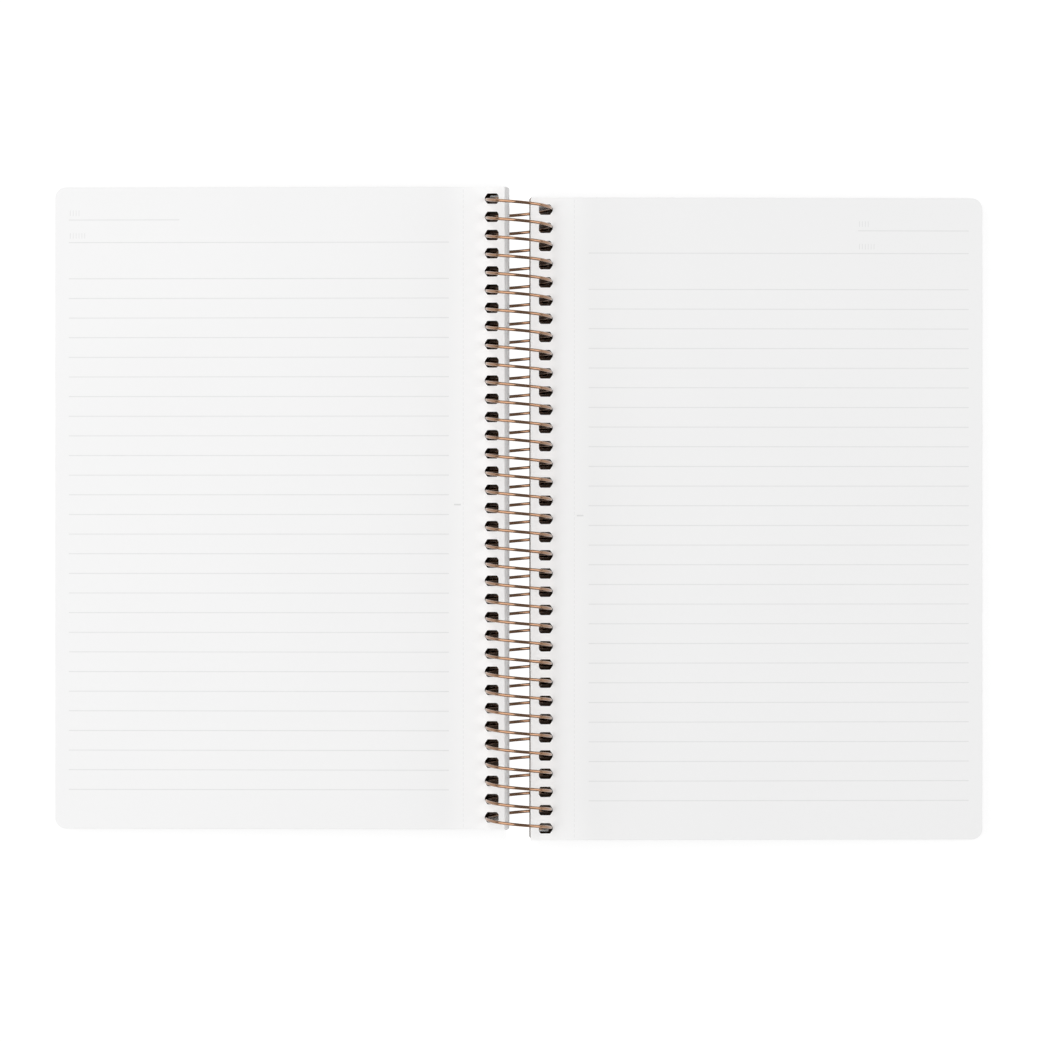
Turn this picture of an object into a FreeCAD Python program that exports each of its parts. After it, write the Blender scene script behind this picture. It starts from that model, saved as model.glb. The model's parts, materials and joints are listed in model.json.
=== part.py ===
# Open spiral notebook: two halves of punched leaves and covers, hung on one left-handed wire coil.
# The origin is on the table, under the middle of the coil. X runs across the spread, Y along the
# coil and Z up. Lengths are in millimetres and angles in degrees.
import FreeCAD, Part
import math
import os
from FreeCAD import Rotation, Vector

# Sheets of paper and card
sheet_width = 147.8
sheet_length = 210.0
fore_corner_radius = 3.5
spine_corner_radius = 0.8
leaf_stack = 4.8
cover_thickness = 1.2

# How the halves lie: half the gap between the top leaves, the lean of each stack towards the coil, how
# far each cover stands out beyond its lowest leaf, and its lift off the table at the holes
spine_gap_half = 4.1
left_lean = 0.92
left_cover_step = -0.05
right_lean = 0.08
right_cover_step = 0.37
cover_lift = 4.0
curl_drop = 0.3
curl_reach = 1.3

# Holes punched along the spine edge of every leaf and cover
hole_pitch = 5.945
least_end_margin = 2.5
hole_reach = 7.0
hole_corner_cut = 0.9
hole_far_flat = 0.8
hole_near_flat = 1.4

# Wire coil, each turn a ring of short straight bars, and how freely it runs in the holes
wire_diameter = 1.0
wire_sides = 6
bars_per_turn = 14
far_play = 0.2
near_play = 0.45
side_play = 1.2
tail_bend = 1.0
tail_length = 2.0

# Turn of the front half about the coil, from folded back to closed
fold_back_turn = 30.0
closing_turn = 183.0

# Slope of each half, which lies on its fore edge and is carried by the coil at its holes
run_to_holes = sheet_width - hole_reach
slope = math.degrees(math.asin(cover_lift / run_to_holes))
slope_sin = math.sin(math.radians(slope))
slope_cos = math.cos(math.radians(slope))

# Section of the wire: as large as the round one, and turned any way about the wire
wire_share = wire_sides * math.sin(math.pi / wire_sides) * math.cos(math.pi / wire_sides) / math.pi
wire_reach = wire_diameter / 2 / math.sqrt(wire_share)

# Coil: it stands on the table and clears the far end of the top leaf's holes
bar_turn = 360 / bars_per_turn
bar_cos = math.cos(math.radians(bar_turn / 2))
stack_height = cover_thickness + leaf_stack
top_at_holes = stack_height * slope_cos + run_to_holes * slope_sin
far_side = spine_gap_half + hole_reach * slope_cos - far_play
coil_outer_radius = (far_side ** 2 + top_at_holes ** 2) / (2 * top_at_holes)
coil_radius = coil_outer_radius - wire_reach / bar_cos
coil_inner_radius = coil_radius * bar_cos - wire_reach

# Holes: they clear the coil's inner side where it comes up through the cover nearest to the coil
near_side = math.sqrt(coil_inner_radius ** 2 - (coil_outer_radius - cover_lift) ** 2)
widest_cover_edge = spine_gap_half - min(left_lean + left_cover_step, right_lean + right_cover_step)
hole_length = hole_reach - (near_side - widest_cover_edge - near_play)
hole_width = wire_diameter + 2 * side_play
hole_count = int((sheet_length - 2 * least_end_margin) / hole_pitch) + 1
hole_span = (hole_count - 1) * hole_pitch


def wire_angle(height):
    """Angle below the level of the coil's axis at which the wire passes a height."""
    return math.degrees(math.asin((coil_outer_radius - height) / coil_radius))


def wire_shift(turn):
    """How far the wire screws along the coil when it turns through an angle."""
    return hole_pitch * turn / 360


# Places of the halves along the coil, from where its wire crosses the leaves and the covers
cover_middle = cover_lift + cover_thickness / 2
leaf_middle = cover_lift + cover_thickness + leaf_stack / 2
leaf_offset = hole_pitch / 4 + wire_shift(wire_angle(leaf_middle))
turn_allowance = wire_shift((closing_turn - fold_back_turn) / 4)
cover_offset = hole_pitch / 4 + wire_shift(wire_angle(cover_middle)) - turn_allowance


def rounded_outline():
    """Closed outline of a sheet in the XY plane, with its spine edge on the Y axis."""
    w, h = sheet_width, sheet_length / 2
    r, s = fore_corner_radius, spine_corner_radius
    q = math.sqrt(0.5)
    fore, spine = r * (1 - q), s * (1 - q)
    edges = [
        Part.LineSegment(Vector(s, -h, 0), Vector(w - r, -h, 0)),
        Part.Arc(Vector(w - r, -h, 0), Vector(w - fore, -h + fore, 0), Vector(w, -h + r, 0)),
        Part.LineSegment(Vector(w, -h + r, 0), Vector(w, h - r, 0)),
        Part.Arc(Vector(w, h - r, 0), Vector(w - fore, h - fore, 0), Vector(w - r, h, 0)),
        Part.LineSegment(Vector(w - r, h, 0), Vector(s, h, 0)),
        Part.Arc(Vector(s, h, 0), Vector(spine, h - spine, 0), Vector(0, h - s, 0)),
        Part.LineSegment(Vector(0, h - s, 0), Vector(0, -h + s, 0)),
        Part.Arc(Vector(0, -h + s, 0), Vector(spine, -h + spine, 0), Vector(s, -h, 0)),
    ]
    return Part.Wire([edge.toShape() for edge in edges])


def hole_outline(y):
    """Outline of one punched hole: a rectangle whose corners are cut, nearly to a point at the far end."""
    near, far = hole_reach - hole_length, hole_reach
    half, cut = hole_width / 2, hole_corner_cut
    upper = [(near, hole_near_flat / 2), (near + cut, half), (far - cut, half), (far, hole_far_flat / 2)]
    lower = [(x, -w) for x, w in reversed(upper)]
    points = [Vector(x, y + w, 0) for x, w in upper + lower]
    return Part.makePolygon(points + points[:1])


def punched_sheet():
    """Flat face of one sheet with its row of holes."""
    rows = [hole_outline(hole_span / 2 - n * hole_pitch) for n in range(hole_count)]
    return Part.Face([rounded_outline()] + rows)


def lay_down(shape, step, lean, offset):
    """Set a piece of the right half on its slope, on the table and beside the coil."""
    shape.translate(Vector(0, -offset, 0))
    fore_edge = Vector(sheet_width, 0, 0)
    shape.rotate(fore_edge, Vector(0, 1, 0), slope)
    top_edge = Vector(step + lean, 0, stack_height)
    laid = Rotation(Vector(0, 1, 0), slope).multVec(top_edge - fore_edge) + fore_edge
    shape.translate(Vector(spine_gap_half - laid.x, 0, 0))
    return shape


def cover(step, lean):
    """Stiff card cover of the right half."""
    card = punched_sheet().extrude(Vector(0, 0, cover_thickness))
    return lay_down(card, step, lean, cover_offset)


def leaf_block(step, lean):
    """Stack of leaves of the right half on a flat cover, each sheet a little further out than the last."""
    lowest = punched_sheet()
    lowest.translate(Vector(step, 0, cover_thickness))
    return lowest.extrude(Vector(lean, 0, leaf_stack))


def leaves(step, lean):
    """The stack of leaves where it lies."""
    return lay_down(leaf_block(step, lean), step, lean, leaf_offset)


def curled_leaves(step, lean):
    """The stack of leaves with its top sheets sloping down to the spine edge."""
    slant = Vector(curl_reach, 0, curl_drop)
    spine_edge = Vector(step + lean, -sheet_length, stack_height - curl_drop)
    low, high = spine_edge - slant, spine_edge + slant * 2
    above = Vector(low.x, low.y, high.z)
    wedge = Part.Face(Part.makePolygon([low, high, above, low])).extrude(Vector(0, 2 * sheet_length, 0))
    return lay_down(leaf_block(step, lean).cut(wedge), step, lean, leaf_offset)


def turned_over(shape):
    """The left half is laid as the right one, turned half round on the table."""
    shape.rotate(Vector(0, 0, 0), Vector(0, 0, 1), 180)
    return shape


def coil_point(angle, radius, y):
    """A point at an angle above the level of the axis on the left, going over the top to the right."""
    a = math.radians(angle)
    return Vector(-radius * math.cos(a), y, coil_outer_radius + radius * math.sin(a))


def coil_corners():
    """Corners of the wire's path, turn by turn, from beside its first low point to beside its last."""
    turns = [bar_turn * n for n in range(1, hole_count * bars_per_turn)]
    return [coil_point(turn - 90, coil_radius, wire_shift(hole_count * 180 - turn)) for turn in turns]


def tail(corner, heading, along):
    """Points of a short tail that bends off the turns and points along the coil."""
    bend = corner + (heading + along).normalize() * tail_bend
    return [bend, bend + along * tail_length]


def wire_section(point):
    """Section of the wire across a tail."""
    turns = [2 * math.pi * n / wire_sides for n in range(wire_sides)]
    corners = [point + Vector(math.cos(t), 0, math.sin(t)) * wire_reach for t in turns]
    return Part.makePolygon(corners + corners[:1])


def coil():
    """The wire: its section swept along the turns, with a tucked tail at each end."""
    turns = coil_corners()
    first_way, last_way = (turns[0] - turns[1]).normalize(), (turns[-1] - turns[-2]).normalize()
    head = tail(turns[0], first_way, Vector(0, -1, 0))
    foot = tail(turns[-1], last_way, Vector(0, 1, 0))
    path = Part.makePolygon(head[::-1] + turns + foot)
    return path.makePipeShell([wire_section(head[-1])], True, False, 1)


def build():
    os.makedirs("parts", exist_ok=True)
    left, right = (left_cover_step, left_lean), (right_cover_step, right_lean)
    pieces = {
        "front_cover": turned_over(cover(*left)),
        "left_pages": turned_over(curled_leaves(*left)),
        "coil": coil(),
        "right_pages": leaves(*right),
        "back_cover": cover(*right),
    }
    for name, shape in pieces.items():
        shape.exportStep("parts/" + name + ".step")
        box = shape.BoundBox
        print(name, shape.isValid(), len(shape.Solids), round(shape.Volume, 1), box)
    print("coil radius", round(coil_radius, 3), "axis height", round(coil_outer_radius, 3))
    print("hole", round(hole_length, 3), round(hole_width, 3), "slope", round(slope, 3))
    print("offsets", round(leaf_offset, 3), round(cover_offset, 3))


build()
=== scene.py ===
# Open spiral notebook: leaves, covers, wire coil and stage, built round the fixed frame.
# Lengths are in metres. X runs across the spread, Y along the coil and Z up.
import json
import math
import random
from collections import namedtuple

import bmesh
import bpy
from bmesh.types import BMEdge, BMFace, BMVert
from bpy.props import FloatProperty, FloatVectorProperty, IntProperty, PointerProperty
from mathutils import Matrix, Vector


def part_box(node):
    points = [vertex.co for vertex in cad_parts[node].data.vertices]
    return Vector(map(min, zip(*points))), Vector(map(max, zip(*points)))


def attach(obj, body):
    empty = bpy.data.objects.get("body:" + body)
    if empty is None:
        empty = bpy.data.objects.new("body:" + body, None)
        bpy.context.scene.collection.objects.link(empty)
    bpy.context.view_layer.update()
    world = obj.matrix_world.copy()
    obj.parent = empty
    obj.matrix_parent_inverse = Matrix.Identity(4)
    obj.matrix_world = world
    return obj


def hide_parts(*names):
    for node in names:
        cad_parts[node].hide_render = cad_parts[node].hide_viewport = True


bl_info = {
    "name": "Open spiral notebook",
    "version": (1, 0, 0),
    "blender": (4, 5, 0),
    "location": "View3D > Sidebar > Notebook",
    "description": "Builds the leaves, covers and wire coil of an open notebook, and a plain stage for it",
    "category": "Object",
}

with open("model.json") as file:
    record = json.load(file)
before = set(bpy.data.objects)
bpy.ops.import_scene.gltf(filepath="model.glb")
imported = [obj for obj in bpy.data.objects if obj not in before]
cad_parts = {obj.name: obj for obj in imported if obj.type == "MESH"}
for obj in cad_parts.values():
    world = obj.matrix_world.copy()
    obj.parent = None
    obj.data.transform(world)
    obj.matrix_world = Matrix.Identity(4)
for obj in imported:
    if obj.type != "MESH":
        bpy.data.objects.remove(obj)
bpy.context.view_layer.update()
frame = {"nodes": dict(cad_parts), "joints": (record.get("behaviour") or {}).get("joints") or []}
MM = 0.001
TURN = 2 * math.pi
UP = Vector((0, 0, 1))

# What the frame tells: the height of the coil's axis and how far each stack lies along the coil
AXIS_HEIGHT = next(joint["pos_m"][2] for joint in frame["joints"] if joint["name"] == "coil_turn")
LEFT_LOW, LEFT_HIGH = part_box("left_pages")
RIGHT_LOW, RIGHT_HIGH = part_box("right_pages")
LEFT_OFFSET = (LEFT_LOW[1] + LEFT_HIGH[1]) / 2
RIGHT_OFFSET = (RIGHT_LOW[1] + RIGHT_HIGH[1]) / 2

# Fineness of paper's grain, and the materials of a leaf in the order of their places on its mesh; the
# second is painted shade in the punched holes and the fourth painted shade in the slits
PAPER_GRAIN = 2400
PAPER, PAINTED_HOLE_SHADE, INK, SLIT = range(4)

# One half of the spread: its side, how its card and leaves lie, the rounding and the set-back of its
# spine edge, its place along the coil and the seed of its leaves' disorder
Half = namedtuple("Half", "side step lean corner set_back offset seed")
# A printed strip on a leaf, from the spine edge and from the leaf's middle
Strip = namedtuple("Strip", "low_u high_u low_v high_v")


def length(name, description, default):
    """A setting that is a length in metres."""
    return FloatProperty(name=name, description=description, default=default, unit="LENGTH", precision=5)


def colour(name, description, default):
    """A setting that is a colour."""
    return FloatVectorProperty(
        name=name, description=description, default=default, subtype="COLOR", size=3, min=0, max=1
    )


class SheetSettings(bpy.types.PropertyGroup):
    width: length("Width", "Width of a leaf", 147.8 * MM)
    tall: length("Height", "Height of a leaf, along the coil", 210.0 * MM)
    fore_radius: length("Fore corner radius", "Rounding of the outer corners", 3.5 * MM)
    left_corner: length("Left spine corner", "Rounding of the left corners beside the coil", 0.3 * MM)
    right_corner: length("Right spine corner", "Rounding of the right corners beside the coil", 0.45 * MM)
    cover_thickness: length("Cover thickness", "Thickness of the card", 1.2 * MM)
    stack: length("Stack", "Height of the leaves on one side", 4.8 * MM)
    count: IntProperty(name="Leaves", description="Leaves on one side", default=48, min=2)
    paper_share: FloatProperty(
        name="Paper share", description="Share of the stack that is paper and not air", default=0.82, max=1
    )
    cover_lift: length("Cover lift", "Height of the card above the table at its holes", 4.0 * MM)
    gap_half: length("Half gap", "From the middle to the top leaf's spine edge", 4.1 * MM)
    left_lean: length("Left lean", "How far back the left stack leans from the coil", 0.92 * MM)
    left_step: length("Left step", "How far the left card stands out beyond its lowest leaf", -0.05 * MM)
    right_lean: length("Right lean", "How far back the right stack leans from the coil", 0.08 * MM)
    right_step: length("Right step", "How far the right card stands out beyond its lowest leaf", 0.37 * MM)
    left_set_back: length("Left set-back", "How far the left page's spine edge stands back", 0.55 * MM)
    right_set_back: length("Right set-back", "How far the right page's spine edge stands back", 0.0)
    edge_reach: length("Edge reach", "Width of the strip at the spine edge that is set back", 0.9 * MM)
    stray: length("Stray", "How far single leaves lie out of line", 0.07 * MM)


class HoleSettings(bpy.types.PropertyGroup):
    pitch: length("Pitch", "Distance from hole to hole", 5.945 * MM)
    count: IntProperty(name="Holes", description="Holes along a leaf", default=35, min=1)
    reach: length("Reach", "From the spine edge to a hole's far end", 7.0 * MM)
    across: length("Length", "Length of a hole across the leaf", 4.517 * MM)
    along: length("Width", "Width of a hole along the coil", 3.4 * MM)
    far_cut: length("Far cut", "Length of a hole that its far corners take", 0.85 * MM)
    near_cut: length("Near cut", "Length of a hole that its near corners take", 0.55 * MM)
    far_flat: length("Far flat", "Flat at a hole's far end", 0.8 * MM)
    near_flat: length("Near flat", "Flat at a hole's near end", 1.9 * MM)
    rounding: length("Rounding", "Rounding of a hole's corners in the top leaf", 0.22 * MM)


class PrintSettings(bpy.types.PropertyGroup):
    line: length("Line width", "Width of a ruled line", 0.26 * MM)
    fore_margin: length("Fore margin", "Bare strip at the fore edge", 4.5 * MM)
    spine_margin: length("Spine margin", "Bare strip beside the coil", 18.75 * MM)
    short_from_top: length("Short line", "Short heading line, from the top edge", 10.7 * MM)
    short_length: length("Short line length", "Length of the short heading line", 36.3 * MM)
    long_from_top: length("Long line", "Full heading line, from the top edge", 18.1 * MM)
    first_from_top: length("First rule", "First ruled line, from the top edge", 29.95 * MM)
    spacing: length("Rule spacing", "Distance between ruled lines", 6.43 * MM)
    rules: IntProperty(name="Rules", description="Ruled lines below the heading", default=27, min=1)
    score_from_spine: length("Tear line", "Perforation, from the spine edge", 14.0 * MM)
    score_width: length("Tear line width", "Width of a perforation slit", 0.12 * MM)
    score_pitch: length("Slit pitch", "Distance from slit to slit", 1.7 * MM)
    score_slit: length("Slit", "Length of a slit", 1.1 * MM)
    short_ticks: IntProperty(name="Short line ticks", description="Ticks over the short line", default=4)
    long_ticks: IntProperty(name="Full line ticks", description="Ticks over the full line", default=6)
    tick: length("Tick width", "Width of a tick in the heading", 0.18 * MM)
    tick_height: length("Tick height", "Height of a tick in the heading", 1.8 * MM)
    tick_rise: length("Tick rise", "Height of the ticks above their line", 1.3 * MM)
    tick_pitch: length("Tick pitch", "Distance from tick to tick", 0.95 * MM)
    dash_length: length("Dash length", "Length of the small dash beside the tear line", 2.2 * MM)
    dash_width: length("Dash width", "Width of the small dash", 0.5 * MM)
    dash_from_spine: length("Dash", "Middle of the small dash, from the spine edge", 15.95 * MM)
    dash_from_top: length("Dash height", "Small dash, from the top edge", 103.9 * MM)


class FinishSettings(bpy.types.PropertyGroup):
    # Both pages are one paper; the right page's is made a little darker, as painted shade for the weaker
    # light on that side
    left_paper: colour("Left paper", "Paper of the left page", (0.9, 0.9, 0.9))
    right_paper: colour("Right paper", "Paper of the right page", (0.89, 0.89, 0.89))
    # Painted light: how much lighter the paper beside the coil is made, against the coil's shade
    lift: FloatProperty(name="Lift", description="Whiteness of paper beside the coil", default=1.1)
    ink: colour("Ruling", "Ink of the ruled lines", (0.785, 0.785, 0.785))
    # Painted shade: the grey given to the slits of the tear line
    slit: colour("Slits", "Shade of the perforation", (0.84, 0.84, 0.84))
    # Painted shade: the dark colour given to the white paper inside and round the punched holes
    hole: colour("Hole walls", "Dark walls of the punched holes", (0.030, 0.018, 0.013))
    card: colour("Card", "Dark card of the covers", (0.09, 0.053, 0.03))
    wire: colour("Wire", "Copper colour of the wire", (0.42, 0.235, 0.135))


class CoilSettings(bpy.types.PropertyGroup):
    wire: length("Wire", "Diameter of the wire", 1.0 * MM)
    tail_angle: FloatProperty(
        name="Tail angle", description="Turn past the last hole", default=math.radians(55), subtype="ANGLE"
    )
    bend: length("Tail bend", "Radius of the bend into a tail", 1.1 * MM)
    tail: length("Tail", "Straight length of a tail", 2.0 * MM)
    steps: IntProperty(name="Steps", description="Segments in one turn", default=60, min=12)
    sides: IntProperty(name="Sides", description="Sides of the wire", default=16, min=6)


class StageSettings(bpy.types.PropertyGroup):
    width: length("Floor", "Side of the floor", 6.0)
    # Painted light and shadow on the floor: extra glow in the open gap, and a dark glow under the leaves
    # out to the surround
    open_gap: length("Open gap", "Half the strip of floor that stays white between the halves", 3.9 * MM)
    surround: length("Surround", "How far past the leaves the floor may go dark", 15.0 * MM)
    view_height: length("Camera height", "Camera above the top leaves", 1.6)
    view_width: length("View width", "Width of the view at the top leaves", 340.4 * MM)
    view_x: length("View centre X", "Centre of the view across the spread", 0.735 * MM)
    view_y: length("View centre Y", "Centre of the view along the coil", -2.466 * MM)
    sky_low: FloatProperty(name="Low sky", description="Light from the horizon", default=0.25, min=0)
    sky_high: FloatProperty(name="High sky", description="Light from straight above", default=0.3, min=0)
    left_lamp: FloatProperty(name="Left lamp", description="Power in watts", default=24.0, min=0)
    right_lamp: FloatProperty(name="Right lamp", description="Power in watts", default=10.2, min=0)


# Shared shader effects

def node(tree, kind, **values):
    """A new node with some of its settings."""
    made = tree.nodes.new(kind)
    for name, value in values.items():
        setattr(made, name, value)
    return made


def calculate(tree, operation, *values):
    """The result of a Math node whose inputs are sockets or plain numbers."""
    made = node(tree, "ShaderNodeMath", operation=operation)
    for socket, value in zip(made.inputs, values):
        if isinstance(value, bpy.types.NodeSocket):
            tree.links.new(value, socket)
        else:
            socket.default_value = value
    return made.outputs["Value"]


def own_axes(tree):
    """The X, Y and Z of a point in the piece's own coordinates."""
    place = node(tree, "ShaderNodeTexCoord")
    split = node(tree, "ShaderNodeSeparateXYZ")
    tree.links.new(place.outputs["Object"], split.inputs["Vector"])
    return split.outputs


def grain_group():
    """Fine grain: a height for bump and a mask for tone, from the piece's own coordinates."""
    name = "Fine grain"
    if name in bpy.data.node_groups:
        return bpy.data.node_groups[name]
    tree = bpy.data.node_groups.new(name, "ShaderNodeTree")
    for label, default in (("Fibre scale", 900.0), ("Cloud scale", 30.0), ("Stretch", 1.0)):
        socket = tree.interface.new_socket(label, in_out="INPUT", socket_type="NodeSocketFloat")
        socket.default_value = default
    tree.interface.new_socket("Height", in_out="OUTPUT", socket_type="NodeSocketFloat")
    tree.interface.new_socket("Cloud", in_out="OUTPUT", socket_type="NodeSocketFloat")
    inputs = node(tree, "NodeGroupInput")
    outputs = node(tree, "NodeGroupOutput")
    place = node(tree, "ShaderNodeTexCoord")
    squeeze = node(tree, "ShaderNodeCombineXYZ")
    squeeze.inputs["X"].default_value = 1
    squeeze.inputs["Z"].default_value = 1
    scaled = node(tree, "ShaderNodeVectorMath", operation="MULTIPLY")
    fibre = node(tree, "ShaderNodeTexNoise")
    fibre.inputs["Detail"].default_value = 1
    cloud = node(tree, "ShaderNodeTexNoise")
    cloud.inputs["Detail"].default_value = 1
    link = tree.links.new
    link(inputs.outputs["Stretch"], squeeze.inputs["Y"])
    link(place.outputs["Object"], scaled.inputs[0])
    link(squeeze.outputs["Vector"], scaled.inputs[1])
    link(scaled.outputs["Vector"], fibre.inputs["Vector"])
    link(place.outputs["Object"], cloud.inputs["Vector"])
    link(inputs.outputs["Fibre scale"], fibre.inputs["Scale"])
    link(inputs.outputs["Cloud scale"], cloud.inputs["Scale"])
    link(fibre.outputs["Fac"], outputs.inputs["Height"])
    link(cloud.outputs["Fac"], outputs.inputs["Cloud"])
    return tree


def grained_material(
    name, base, tone, roughness, fibre, cloud, bump=None, stretch=1.0, metallic=0.0, specular=0.5
):
    """A finish with a soft cloud of tone and a spread of gloss. tone scales the darker part of its
    colour. bump is the strength and the height of a fine relief."""
    material = bpy.data.materials.new(name)
    material.use_nodes = True
    tree = material.node_tree
    shader = tree.nodes["Principled BSDF"]
    shader.inputs["Metallic"].default_value = metallic
    shader.inputs["Specular IOR Level"].default_value = specular
    grain = node(tree, "ShaderNodeGroup", node_tree=grain_group())
    grain.inputs["Fibre scale"].default_value = fibre
    grain.inputs["Cloud scale"].default_value = cloud
    grain.inputs["Stretch"].default_value = stretch
    shade = node(tree, "ShaderNodeMix", data_type="RGBA")
    shade.inputs["A"].default_value = (*[c * tone for c in base], 1)
    shade.inputs["B"].default_value = (*base, 1)
    gloss = node(tree, "ShaderNodeMapRange")
    gloss.inputs["To Min"].default_value = roughness[0]
    gloss.inputs["To Max"].default_value = roughness[1]
    link = tree.links.new
    link(grain.outputs["Cloud"], shade.inputs["Factor"])
    link(shade.outputs["Result"], shader.inputs["Base Color"])
    link(grain.outputs["Height"], gloss.inputs["Value"])
    link(gloss.outputs["Result"], shader.inputs["Roughness"])
    if bump:
        relief = node(tree, "ShaderNodeBump")
        relief.inputs["Strength"].default_value = bump[0]
        relief.inputs["Distance"].default_value = bump[1]
        link(grain.outputs["Height"], relief.inputs["Height"])
        link(relief.outputs["Normal"], shader.inputs["Normal"])
    return material


def paper_material(name, base, lift):
    """Paper, with painted light: it is made lighter beside the coil, to make up for the shade the coil
    casts there.
    """
    white_reach, painted_light_reach = 12 * MM, 26 * MM
    material = grained_material(
        name, base, tone=0.985, roughness=(0.78, 0.92), fibre=PAPER_GRAIN, cloud=22
    )
    tree = material.node_tree
    link = tree.links.new
    shader = tree.nodes["Principled BSDF"]
    # Painted light, strongest beside the coil and fading out away from it
    near = node(tree, "ShaderNodeMapRange", interpolation_type="SMOOTHSTEP")
    near.inputs["From Min"].default_value = painted_light_reach
    near.inputs["From Max"].default_value = white_reach
    near.inputs["To Min"].default_value = 1.0
    near.inputs["To Max"].default_value = lift
    painted_lightening = node(tree, "ShaderNodeVectorMath", operation="SCALE")
    link(calculate(tree, "ABSOLUTE", own_axes(tree)["X"]), near.inputs["Value"])
    link(near.outputs["Result"], painted_lightening.inputs["Scale"])
    link(shader.inputs["Base Color"].links[0].from_socket, painted_lightening.inputs[0])
    link(painted_lightening.outputs["Vector"], shader.inputs["Base Color"])
    return material


def ink_material(base):
    """Grey ink of the ruled lines."""
    return grained_material(
        "ruling ink", base, tone=0.93, roughness=(0.7, 0.85), fibre=PAPER_GRAIN, cloud=400,
        bump=(0.1, 0.01 * MM),
    )


def slit_material(base):
    """Painted shade in the slits of the tear line."""
    return grained_material(
        "perforation", base, tone=0.9, roughness=(0.85, 0.95), fibre=PAPER_GRAIN, cloud=400,
        bump=(0.1, 0.01 * MM),
    )


def painted_hole_shade_material(base):
    """Painted shade for the walls of the punched holes: dark, with hardly a shine, where the paper is
    white.
    """
    return grained_material(
        "hole wall", base, tone=0.6, roughness=(0.8, 0.95), fibre=1500, cloud=300,
        bump=(0.3, 0.05 * MM), specular=0.1,
    )


def card_material(base):
    """Dark card of the covers."""
    return grained_material(
        "cover card", base, tone=0.7, roughness=(0.55, 0.8), fibre=700, cloud=60,
        bump=(0.35, 0.05 * MM), specular=0.2,
    )


def wire_material(base):
    """Copper-coloured wire under a thin clear coat, its grain drawn out along the coil."""
    material = grained_material(
        "copper wire", base, tone=0.8, roughness=(0.1, 0.2), fibre=1400, cloud=160,
        bump=(0.05, 0.02 * MM), stretch=0.25, metallic=1.0,
    )
    shader = material.node_tree.nodes["Principled BSDF"]
    shader.inputs["Coat Weight"].default_value = 0.6
    shader.inputs["Coat Roughness"].default_value = 0.08
    return material


# Meshes

def whole(bm):
    """All of a mesh, to be cut."""
    return bm.verts[:] + bm.edges[:] + bm.faces[:]


def with_edges(faces):
    """Some faces with their edges and corners, to be cut."""
    edges = [edge for face in faces for edge in face.edges]
    return list(dict.fromkeys(faces + edges + corners_of(faces)))


def corners_of(items):
    """The corners of some faces or edges, each of them once."""
    return list(dict.fromkeys(vert for item in items for vert in item.verts))


def only(kind, geom):
    """The vertices, the edges or the faces in mixed geometry."""
    return [item for item in geom if isinstance(item, kind)]


def cut_across(bm, geom, u=None, v=None):
    """Cuts flat geometry along a line of constant u or v, and returns the geometry that was cut."""
    point = Vector((u or 0, v or 0, 0))
    normal = Vector((1, 0, 0)) if v is None else Vector((0, 1, 0))
    return bmesh.ops.bisect_plane(bm, geom=geom, dist=1e-7, plane_co=point, plane_no=normal)["geom"]


def cut_round(bm, geom, strip):
    """Cuts flat geometry along the four lines that bound a strip, and returns what was cut."""
    for u, v in ((strip.low_u, None), (strip.high_u, None), (None, strip.low_v), (None, strip.high_v)):
        geom = cut_across(bm, geom, u, v)
    return geom


def within(face, strip):
    middle = face.calc_center_median()
    return strip.low_u < middle.x < strip.high_u and strip.low_v < middle.y < strip.high_v


def finished_piece(name, bm, materials, body):
    """Turns a bmesh into a piece that rides on a body, with its place in its mesh."""
    mesh = bpy.data.meshes.new(name)
    bm.to_mesh(mesh)
    bm.free()
    for material in materials:
        mesh.materials.append(material)
    piece = bpy.data.objects.new(name, mesh)
    bpy.context.scene.collection.objects.link(piece)
    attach(piece, body)
    return piece


# Leaves

def add_sheet_outline(bm, sheet, spine_radius):
    """Edges of a sheet with rounded corners, its spine edge on the Y axis."""
    half = sheet.tall / 2
    places = ((0, -half, 0), (sheet.width, -half, 0), (sheet.width, half, 0), (0, half, 0))
    corners = [bm.verts.new(place) for place in places]
    bm.faces.new(corners)
    for verts, radius in ((corners[1:3], sheet.fore_radius), ((corners[0], corners[3]), spine_radius)):
        bmesh.ops.bevel(
            bm, geom=list(verts), offset=radius, segments=8, profile=0.5, affect="VERTICES", material=-1
        )


def add_hole_outline(bm, holes, y, rounding):
    """Edges of one punched hole, with its corners rounded if rounding isn't 0."""
    near, far = holes.reach - holes.across, holes.reach
    upper = [
        (near, holes.near_flat / 2),
        (near + holes.near_cut, holes.along / 2),
        (far - holes.far_cut, holes.along / 2),
        (far, holes.far_flat / 2),
    ]
    lower = [(x, -w) for x, w in reversed(upper)]
    corners = [bm.verts.new((x, y + w, 0)) for x, w in upper + lower]
    bm.faces.new(corners)
    if rounding:
        bmesh.ops.bevel(
            bm, geom=corners, offset=rounding, segments=3, profile=0.5, affect="VERTICES", material=-1
        )


def add_flat_leaf(bm, sheet, holes, corner, rounding=0.0):
    """One flat leaf, filled between its outline and its holes."""
    add_sheet_outline(bm, sheet, corner)
    span = (holes.count - 1) * holes.pitch
    for n in range(holes.count):
        add_hole_outline(bm, holes, span / 2 - n * holes.pitch, rounding)
    bmesh.ops.delete(bm, geom=bm.faces[:], context="FACES_ONLY")
    bmesh.ops.triangle_fill(bm, edges=bm.edges[:], use_beauty=True, normal=UP)


def thicken(bm, sheet):
    """Gives a flat leaf its thickness downwards. Its upper face keeps its place."""
    made = bmesh.ops.extrude_face_region(bm, geom=bm.faces[:], use_keep_orig=True)["geom"]
    thickness = sheet.stack / sheet.count * sheet.paper_share
    bmesh.ops.translate(bm, verts=only(BMVert, made), vec=-UP * thickness)
    bmesh.ops.recalc_face_normals(bm, faces=bm.faces[:])


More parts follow.
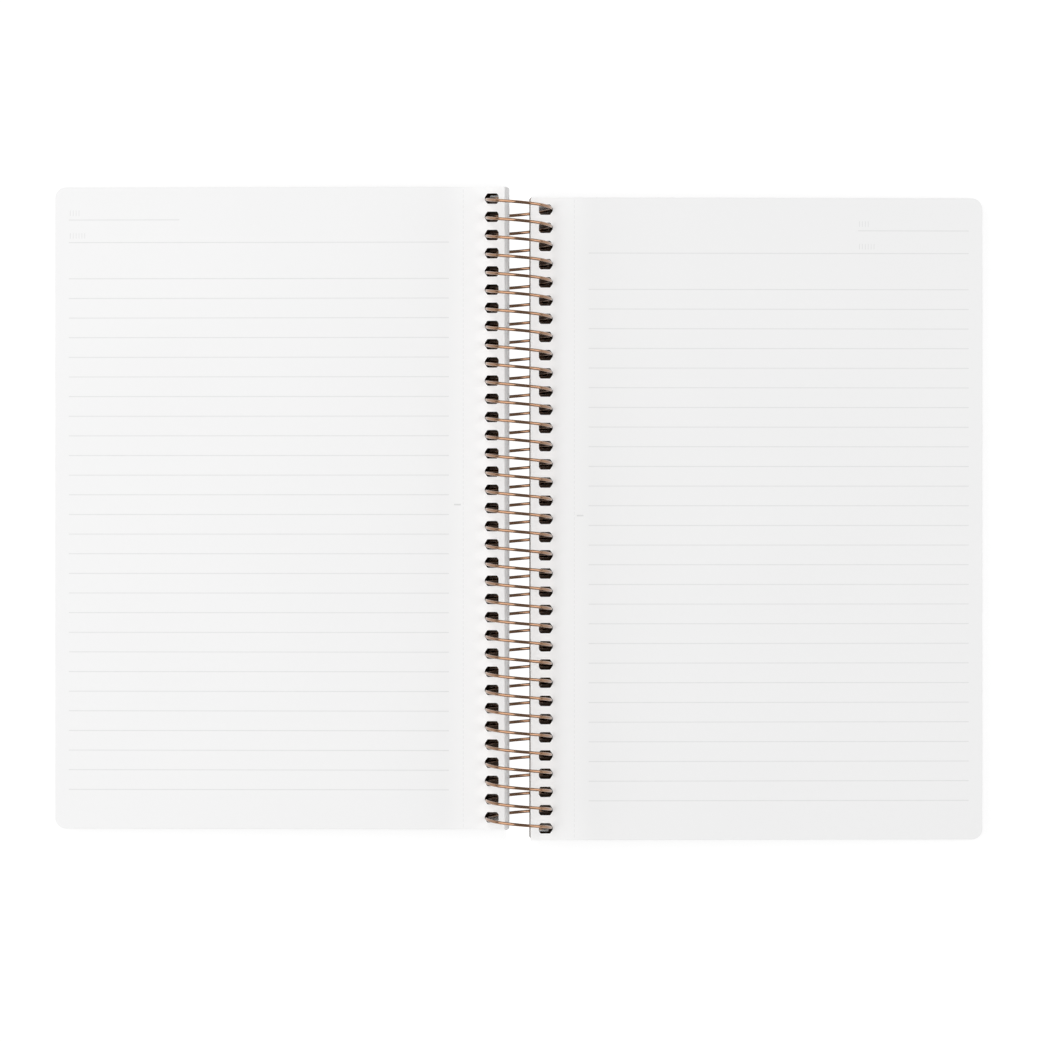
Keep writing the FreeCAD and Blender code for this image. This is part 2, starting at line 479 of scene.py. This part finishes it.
def hole_band(holes):
    """The strip of a leaf that its holes stand in."""
    edge = 0.3 * MM
    half = (holes.count - 1) * holes.pitch / 2 + holes.along / 2 + edge
    return Strip(holes.reach - holes.across - edge, holes.reach + edge, -half, half)


def paint_hole_band_shade(bm, band):
    """Cuts the band of holes out of a lower leaf and paints it with the dark shade of the holes."""
    cut_round(bm, whole(bm), band)
    for face in bm.faces:
        if within(face, band):
            face.material_index = PAINTED_HOLE_SHADE


def in_hole(face, band, spine_edge):
    """True for a wall inside a punched hole, not at the edge of the leaf."""
    middle = face.calc_center_median()
    upright = abs(face.normal.z) < 0.5
    across = band.low_u < middle.x - spine_edge < band.high_u
    return upright and across and band.low_v < middle.y < band.high_v


def half_matrix(sheet, holes, half):
    """Place of a half on its slope, from sheet coordinates whose origin is the card's lower spine edge."""
    slope = math.asin(sheet.cover_lift / (sheet.width - holes.reach))
    tip = Matrix.Rotation(slope, 4, "Y")
    fore_edge = Vector((sheet.width, 0, 0))
    top_edge = Vector((half.step + half.lean, 0, sheet.cover_thickness + sheet.stack))
    laid = tip @ (top_edge - fore_edge) + fore_edge
    turned_over = half.side == "left"
    shift = Matrix.Translation((sheet.gap_half - laid.x, -half.offset if turned_over else half.offset, 0))
    placed = shift @ Matrix.Translation(fore_edge) @ tip @ Matrix.Translation(-fore_edge)
    return Matrix.Rotation(math.pi, 4, "Z") @ placed if turned_over else placed


def set_back_edges(bm, sheet, half):
    """Draws the spine edges of the leaves back from the coil, the top one most."""
    for vert in bm.verts:
        rise = (vert.co.z - sheet.cover_thickness) / sheet.stack
        inside = (vert.co.x - half.step - half.lean * rise) / sheet.edge_reach
        if inside < 1:
            vert.co.x += half.set_back * rise * (1 - inside)


def leaf_stack(sheet, holes, half, materials):
    """All leaves of one side but the top one, each a little out of line."""
    bm = bmesh.new()
    band = hole_band(holes)
    add_flat_leaf(bm, sheet, holes, half.corner)
    cut_across(bm, whole(bm), u=sheet.edge_reach)
    # Painted shade on the lower leaf round its holes
    paint_hole_band_shade(bm, band)
    thicken(bm, sheet)
    bmesh.ops.triangulate(bm, faces=bm.faces[:])
    single = bpy.data.meshes.new("single leaf")
    bm.to_mesh(single)
    bm.clear()
    chance = random.Random(half.seed)
    for n in range(sheet.count - 1):
        rise = (n + 1) / sheet.count
        before = len(bm.verts)
        bm.from_mesh(single)
        bm.verts.ensure_lookup_table()
        place = Vector((
            half.step + half.lean * rise + chance.uniform(-1, 1) * sheet.stray,
            chance.uniform(-1, 1) * sheet.stray,
            sheet.cover_thickness + sheet.stack * rise,
        ))
        bmesh.ops.translate(bm, verts=bm.verts[before:], vec=place)
    bpy.data.meshes.remove(single)
    bm.normal_update()
    # Painted shade on the walls inside the holes
    for face in bm.faces:
        rise = (face.calc_center_median().z - sheet.cover_thickness) / sheet.stack
        if in_hole(face, band, half.step + half.lean * rise):
            face.material_index = PAINTED_HOLE_SHADE
    set_back_edges(bm, sheet, half)
    bmesh.ops.transform(bm, matrix=half_matrix(sheet, holes, half), verts=bm.verts[:])
    body = half.side + "_pages"
    piece = finished_piece(half.side + "_leaves", bm, materials[:PAINTED_HOLE_SHADE + 1], body)
    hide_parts(body)


def ruled_strips(sheet, ruling):
    """The ruled lines of a right-hand leaf."""
    top = sheet.tall / 2
    fore = sheet.width - ruling.fore_margin
    thick = ruling.line / 2
    rows = [top - ruling.long_from_top]
    rows += [top - ruling.first_from_top - n * ruling.spacing for n in range(ruling.rules)]
    strips = [Strip(ruling.spine_margin, fore, v - thick, v + thick) for v in rows]
    short = top - ruling.short_from_top
    return strips + [Strip(fore - ruling.short_length, fore, short - thick, short + thick)]


def small_strips(sheet, ruling, reading_start, way):
    """The heading's ticks, from where its lines start to read, and the dash beside the tear line."""
    top = sheet.tall / 2
    strips = []
    lines = ((ruling.short_from_top, ruling.short_ticks), (ruling.long_from_top, ruling.long_ticks))
    for line, ticks in lines:
        low = top - line + ruling.tick_rise
        for n in range(ticks):
            u = reading_start + way * (n + 0.5) * ruling.tick_pitch
            strips.append(Strip(u - ruling.tick / 2, u + ruling.tick / 2, low, low + ruling.tick_height))
    dash, v = ruling.dash_from_spine, top - ruling.dash_from_top
    across, along = ruling.dash_length / 2, ruling.dash_width / 2
    return strips + [Strip(dash - across, dash + across, v - along, v + along)]


def turned_strip(strip):
    """The strip on a left-hand leaf, whose head is at its other end."""
    return Strip(strip.low_u, strip.high_u, -strip.high_v, -strip.low_v)


def print_rules(bm, strips):
    """Cuts the ruled lines out of the top leaf's face, edge to edge, and gives them the ink."""
    for low_u, high_u in sorted({(strip.low_u, strip.high_u) for strip in strips}):
        cut_across(bm, whole(bm), u=low_u)
        cut_across(bm, whole(bm), u=high_u)
    for strip in strips:
        cut_across(bm, whole(bm), v=strip.low_v)
        cut_across(bm, whole(bm), v=strip.high_v)
    for face in bm.faces:
        if any(within(face, strip) for strip in strips):
            face.material_index = INK


def stamp(bm, strip):
    """Cuts one small strip out of the faces that it lies on, and gives it the ink."""
    near = []
    for face in bm.faces:
        us, vs = [v.co.x for v in face.verts], [v.co.y for v in face.verts]
        beside = max(us) < strip.low_u or min(us) > strip.high_u
        if not beside and min(vs) < strip.high_v and max(vs) > strip.low_v:
            near.append(face)
    for face in only(BMFace, cut_round(bm, with_edges(near), strip)):
        if within(face, strip):
            face.material_index = INK


def cut_slits(bm, sheet, ruling):
    """The tear line: a row of short slits along the leaf."""
    low, high = ruling.score_from_spine, ruling.score_from_spine + ruling.score_width
    first = (ruling.score_pitch - sheet.tall) / 2
    count = math.ceil((sheet.tall / 2 - ruling.score_slit - first) / ruling.score_pitch)
    starts = [first + n * ruling.score_pitch for n in range(count)]
    slits = [Strip(low, high, v, v + ruling.score_slit) for v in starts]
    cut_across(bm, whole(bm), u=low)
    cut_across(bm, whole(bm), u=high)
    geom = with_edges([face for face in bm.faces if low < face.calc_center_median().x < high])
    for slit in slits:
        geom = cut_across(bm, geom, v=slit.low_v)
        geom = cut_across(bm, geom, v=slit.high_v)
    for face in only(BMFace, geom):
        if any(within(face, slit) for slit in slits):
            face.material_index = SLIT


def top_leaf(sheet, holes, ruling, half, materials):
    """The printed leaf on top of a stack, with its ruling and tear line."""
    bm = bmesh.new()
    band = hole_band(holes)
    add_flat_leaf(bm, sheet, holes, half.corner, holes.rounding)
    cut_across(bm, whole(bm), u=sheet.edge_reach)
    fore = sheet.width - ruling.fore_margin
    ruled = ruled_strips(sheet, ruling)
    if half.side == "left":
        print_rules(bm, [turned_strip(strip) for strip in ruled])
        small = [turned_strip(strip) for strip in small_strips(sheet, ruling, fore, -1)]
    else:
        print_rules(bm, ruled)
        small = small_strips(sheet, ruling, fore - ruling.short_length, 1)
    for strip in small:
        stamp(bm, strip)
    cut_slits(bm, sheet, ruling)
    printed = set(bm.faces)
    thicken(bm, sheet)
    for face in bm.faces:
        if face not in printed or face.normal.z < 0.5:
            face.material_index = PAPER
        # Painted shade on the walls inside the holes
        if in_hole(face, band, 0):
            face.material_index = PAINTED_HOLE_SHADE
    lift = Vector((half.step + half.lean, 0, sheet.cover_thickness + sheet.stack))
    bmesh.ops.translate(bm, verts=bm.verts[:], vec=lift)
    set_back_edges(bm, sheet, half)
    bmesh.ops.transform(bm, matrix=half_matrix(sheet, holes, half), verts=bm.verts[:])
    finished_piece(half.side + "_top_leaf", bm, materials, half.side + "_pages")


def half_of(side, sheet, offset, seed):
    """The left or the right half, from the settings that begin with its side."""
    values = {name: getattr(sheet, side + "_" + name) for name in ("step", "lean", "corner", "set_back")}
    return Half(side=side, offset=offset, seed=seed, **values)


class NOTEBOOK_OT_leaves(bpy.types.Operator):
    """Build the two stacks of leaves with their printed top leaves"""

    bl_idname = "notebook.leaves"
    bl_label = "Leaves"

    def execute(self, context):
        scene = context.scene
        sheet, holes, ruling, finish = scene.sheet, scene.holes, scene.ruling, scene.finish
        shared = [painted_hole_shade_material(finish.hole), ink_material(finish.ink), slit_material(finish.slit)]
        for side, offset, seed in (("left", LEFT_OFFSET, 11), ("right", RIGHT_OFFSET, 12)):
            half = half_of(side, sheet, offset, seed)
            base = getattr(finish, side + "_paper")
            materials = [paper_material(side + " paper", base, finish.lift)] + shared
            leaf_stack(sheet, holes, half, materials)
            top_leaf(sheet, holes, ruling, half, materials)
        return {"FINISHED"}


# Covers

class NOTEBOOK_OT_covers(bpy.types.Operator):
    """Give the two covers of the frame their dark card"""

    bl_idname = "notebook.covers"
    bl_label = "Covers"

    def execute(self, context):
        card = card_material(context.scene.finish.card)
        for name in ("front_cover", "back_cover"):
            cover = frame["nodes"][name]
            cover.data.materials.clear()
            cover.data.materials.append(card)
        return {"FINISHED"}


# Wire coil

def bend_tail(bm, ring, point, heading, along, coil):
    """Bends the wire from the end of its turns into a straight tail, and rounds its tip."""
    side = (along - heading * along.dot(heading)).normalized()
    centre = point + side * coil.bend
    axis = heading.cross(along).normalized()
    angle = heading.angle(along)
    bent = ring + corners_of(ring)
    ring = bmesh.ops.spin(bm, geom=bent, cent=centre, axis=axis, angle=angle, steps=8)["geom_last"]
    tip_angles = [math.radians(degrees) for degrees in (0, 30, 60)]
    stretches = [(coil.tail, 1.0)]
    for before, after in zip(tip_angles, tip_angles[1:]):
        stretches.append((coil.wire / 2 * (math.sin(after) - math.sin(before)), math.cos(after)))
    previous = 1.0
    for distance, scale in stretches:
        made = bmesh.ops.extrude_edge_only(bm, edges=only(BMEdge, ring))["geom"]
        verts = only(BMVert, made)
        ring = [edge for edge in only(BMEdge, made) if set(edge.verts) <= set(verts)]
        bmesh.ops.translate(bm, verts=verts, vec=along * distance)
        middle = sum((vert.co for vert in verts), Vector()) / len(verts)
        shrink = Matrix.Scale(scale / previous, 4)
        bmesh.ops.transform(bm, matrix=shrink, space=Matrix.Translation(-middle), verts=verts)
        previous = scale
    bmesh.ops.contextual_create(bm, geom=ring)


def wound_turns(coil, holes, start, heading, axis_point):
    """The turns of the wire: the odd part of a turn first, and then whole turns, joined end to end."""
    part_turn = math.pi + 2 * coil.tail_angle
    part_steps = round(part_turn / TURN * coil.steps)
    turn_to_heading = heading.to_track_quat("Z", "Y").to_matrix().to_4x4()
    bm = bmesh.new()
    bmesh.ops.create_circle(
        bm, segments=coil.sides, radius=coil.wire / 2, matrix=Matrix.Translation(start) @ turn_to_heading
    )
    ring = bmesh.ops.spin(
        bm, geom=bm.verts[:] + bm.edges[:], cent=axis_point, axis=(0, 1, 0), angle=part_turn,
        steps=part_steps, dvec=(0, -holes.pitch * part_turn / TURN / part_steps, 0),
    )["geom_last"]
    odd_part = bpy.data.meshes.new("odd part of a turn")
    bm.to_mesh(odd_part)
    bmesh.ops.delete(bm, geom=[v for v in bm.verts if v not in ring], context="VERTS")
    bmesh.ops.spin(
        bm, geom=bm.verts[:] + bm.edges[:], cent=axis_point, axis=(0, 1, 0), angle=TURN, steps=coil.steps,
        dvec=(0, -holes.pitch / coil.steps, 0),
    )
    whole_turn = bpy.data.meshes.new("whole turn")
    bm.to_mesh(whole_turn)
    bm.clear()
    bm.from_mesh(odd_part)
    for n in range(holes.count - 1):
        before = len(bm.verts)
        bm.from_mesh(whole_turn)
        bm.verts.ensure_lookup_table()
        bmesh.ops.translate(bm, verts=bm.verts[before:], vec=(0, -holes.pitch * n, 0))
    for mesh in (odd_part, whole_turn):
        bpy.data.meshes.remove(mesh)
    bmesh.ops.remove_doubles(bm, verts=bm.verts[:], dist=MM / 100)
    return bm


class NOTEBOOK_OT_coil(bpy.types.Operator):
    """Wind the copper wire through the holes"""

    bl_idname = "notebook.coil"
    bl_label = "Wire coil"

    def execute(self, context):
        coil, holes = context.scene.coil, context.scene.holes
        radius = AXIS_HEIGHT - coil.wire / 2
        turned = (holes.count - 1) * TURN + math.pi + 2 * coil.tail_angle
        axis_point = Vector((0, holes.pitch * turned / TURN / 2, AXIS_HEIGHT))
        angle = -coil.tail_angle
        start = axis_point + Vector((-math.cos(angle), 0, math.sin(angle))) * radius
        heading = Vector((math.sin(angle), -holes.pitch / TURN / radius, math.cos(angle))).normalized()
        end = Vector((-start.x, -start.y, start.z))
        ahead = Vector((heading.x, heading.y, -heading.z))
        bm = wound_turns(coil, holes, start, heading, axis_point)
        open_edges = [edge for edge in bm.edges if edge.is_boundary]
        first = [edge for edge in open_edges if edge.verts[0].co.y > 0]
        last = [edge for edge in open_edges if edge.verts[0].co.y < 0]
        bend_tail(bm, last, end, ahead, Vector((0, 1, 0)), coil)
        bend_tail(bm, first, start, -heading, Vector((0, -1, 0)), coil)
        bmesh.ops.recalc_face_normals(bm, faces=bm.faces[:])
        for face in bm.faces:
            face.smooth = True
        copper = wire_material(context.scene.finish.wire)
        piece = finished_piece("wire_coil", bm, [copper], "coil")
        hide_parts("coil")
        return {"FINISHED"}


# Stage

def add_lamp(name, target, place, size, power):
    """A soft oblong lamp that faces a point."""
    data = bpy.data.lights.new(name, "AREA")
    data.shape = "RECTANGLE"
    data.size, data.size_y = size
    data.energy = power
    lamp = bpy.data.objects.new(name, data)
    lamp.location = place
    lamp.rotation_euler = (Vector(target) - Vector(place)).to_track_quat("-Z", "Y").to_euler()
    bpy.context.scene.collection.objects.link(lamp)


def shader_node(tree, kind, shade):
    """A Diffuse BSDF or Emission node of one colour."""
    made = node(tree, kind)
    made.inputs["Color"].default_value = (*shade, 1)
    return made


def blend(tree, factor, first, second):
    """The mix of two shaders."""
    made = node(tree, "ShaderNodeMixShader")
    for socket, source in zip(made.inputs, (factor, first, second)):
        tree.links.new(source, socket)
    return made.outputs["Shader"]


def within_reach(tree, distance, reach):
    """1 where a distance either way is within reach, and 0 past it."""
    return calculate(tree, "LESS_THAN", calculate(tree, "ABSOLUTE", distance), reach)


def floor_material(half_across, half_along, gap_half):
    """White floor with a faint real shadow. Where the notebook covers it a dark glow paints its shadow in,
    and in the gap an extra glow paints light so that it stays white.
    """
    white, faint, dark = (0.86, 0.86, 0.86), (0.2, 0.2, 0.2), (0.024, 0.015, 0.011)
    shadow_reach, dark_below, white_above, painted_gap_light = 0.04, 0.24, 0.5, 0.25
    material = bpy.data.materials.new("pale floor")
    material.use_nodes = True
    material.cycles.emission_sampling = "NONE"
    tree = material.node_tree
    tree.nodes.remove(tree.nodes["Principled BSDF"])
    link = tree.links.new

    axes = own_axes(tree)
    in_length = within_reach(tree, axes["Y"], half_along)
    in_gap = calculate(tree, "MULTIPLY", within_reach(tree, axes["X"], gap_half), in_length)
    near = calculate(tree, "MULTIPLY", within_reach(tree, axes["X"], half_across), in_length)

    matt = shader_node(tree, "ShaderNodeBsdfDiffuse", white)
    shadowed = shader_node(tree, "ShaderNodeBsdfDiffuse", faint)
    glow = shader_node(tree, "ShaderNodeEmission", white)
    # Painted light: extra glow in the gap between the halves
    link(calculate(tree, "MULTIPLY_ADD", in_gap, painted_gap_light, 1), glow.inputs["Strength"])
    bright = node(tree, "ShaderNodeAddShader")
    link(shadowed.outputs["BSDF"], bright.inputs[0])
    link(glow.outputs["Emission"], bright.inputs[1])

    open_sky = node(tree, "ShaderNodeAmbientOcclusion", samples=8)
    open_sky.inputs["Distance"].default_value = shadow_reach
    opening = node(tree, "ShaderNodeMapRange")
    opening.inputs["From Min"].default_value = dark_below
    opening.inputs["From Max"].default_value = white_above
    link(calculate(tree, "MAXIMUM", in_gap, open_sky.outputs["AO"]), opening.inputs["Value"])
    # Painted shadow: a dark glow where the notebook covers the floor
    under = shader_node(tree, "ShaderNodeEmission", dark)
    painted_shadow_mix = blend(tree, opening.outputs["Result"], under.outputs["Emission"], bright.outputs["Shader"])
    seen_look = blend(tree, near, bright.outputs["Shader"], painted_shadow_mix)

    path = node(tree, "ShaderNodeLightPath")
    mirrored = calculate(tree, "GREATER_THAN", path.outputs["Is Glossy Ray"], near)
    seen = calculate(tree, "MAXIMUM", path.outputs["Is Camera Ray"], mirrored)
    look = blend(tree, seen, matt.outputs["BSDF"], seen_look)
    link(look, tree.nodes["Material Output"].inputs["Surface"])
    return material


def light_world(low, high):
    """Soft white light, whose strength goes from that of the horizon to that of straight above."""
    world = bpy.data.worlds.new("soft light")
    world.use_nodes = True
    tree = world.node_tree
    sky = tree.nodes["Background"]
    sky.inputs["Color"].default_value = (1, 1, 1, 1)
    place = node(tree, "ShaderNodeTexCoord")
    split = node(tree, "ShaderNodeSeparateXYZ")
    fade = node(tree, "ShaderNodeMapRange")
    fade.inputs["To Min"].default_value = low
    fade.inputs["To Max"].default_value = high
    link = tree.links.new
    link(place.outputs["Generated"], split.inputs["Vector"])
    link(split.outputs["Z"], fade.inputs["Value"])
    link(fade.outputs["Result"], sky.inputs["Strength"])
    bpy.context.scene.world = world


def add_camera(stage, top):
    """Camera straight above the spread."""
    data = bpy.data.cameras.new("camera")
    data.sensor_width = 36
    data.lens = data.sensor_width * stage.view_height / stage.view_width
    data.clip_end = 20
    camera = bpy.data.objects.new("camera", data)
    camera.location = (stage.view_x, stage.view_y, top + stage.view_height)
    bpy.context.scene.collection.objects.link(camera)
    bpy.context.scene.camera = camera


class NOTEBOOK_OT_stage(bpy.types.Operator):
    """Lay the floor and set the lamps and the camera"""

    bl_idname = "notebook.stage"
    bl_label = "Stage"

    def execute(self, context):
        stage = context.scene.stage
        bm = bmesh.new()
        bmesh.ops.create_grid(bm, x_segments=1, y_segments=1, size=stage.width / 2)
        mesh = bpy.data.meshes.new("floor")
        bm.to_mesh(mesh)
        bm.free()
        half_across, half_along = RIGHT_HIGH[0] + stage.surround, LEFT_HIGH[1] + stage.surround
        mesh.materials.append(floor_material(half_across, half_along, stage.open_gap))
        floor = bpy.data.objects.new("floor", mesh)
        context.scene.collection.objects.link(floor)
        middle = (0, 0, AXIS_HEIGHT)
        add_lamp("left lamp", middle, place=(-0.97, 0.15, 1.0), size=(2.6, 1.6), power=stage.left_lamp)
        add_lamp("right lamp", middle, place=(1.21, 0, 0.7), size=(1.5, 1.0), power=stage.right_lamp)
        light_world(stage.sky_low, stage.sky_high)
        add_camera(stage, (LEFT_HIGH[2] + RIGHT_HIGH[2]) / 2)
        context.scene.view_settings.view_transform = "Standard"
        return {"FINISHED"}


class NOTEBOOK_PT_panel(bpy.types.Panel):
    """Lists the pieces of the notebook and their settings"""

    bl_idname = "NOTEBOOK_PT_panel"
    bl_label = "Spiral notebook"
    bl_space_type = "VIEW_3D"
    bl_region_type = "UI"
    bl_category = "Notebook"

    def draw(self, context):
        for name, group in SETTINGS.items():
            box = self.layout.box()
            box.label(text=name.capitalize())
            for setting in group.__annotations__:
                box.prop(getattr(context.scene, name), setting)
        for operator in OPERATORS:
            self.layout.operator(operator.bl_idname)


SETTINGS = {
    "sheet": SheetSettings,
    "holes": HoleSettings,
    "ruling": PrintSettings,
    "finish": FinishSettings,
    "coil": CoilSettings,
    "stage": StageSettings,
}
OPERATORS = (NOTEBOOK_OT_stage, NOTEBOOK_OT_leaves, NOTEBOOK_OT_covers, NOTEBOOK_OT_coil)


def register():
    for group in SETTINGS.values():
        bpy.utils.register_class(group)
    for name, group in SETTINGS.items():
        setattr(bpy.types.Scene, name, PointerProperty(type=group))
    for operator in OPERATORS:
        bpy.utils.register_class(operator)
    bpy.utils.register_class(NOTEBOOK_PT_panel)


def unregister():
    bpy.utils.unregister_class(NOTEBOOK_PT_panel)
    for operator in reversed(OPERATORS):
        bpy.utils.unregister_class(operator)
    for name in reversed(SETTINGS):
        delattr(bpy.types.Scene, name)
    for group in reversed(SETTINGS.values()):
        bpy.utils.unregister_class(group)


def main():
    register()
    bpy.ops.notebook.stage()
    bpy.ops.notebook.leaves()
    bpy.ops.notebook.covers()
    bpy.ops.notebook.coil()


if __name__ == "__main__":
    main()
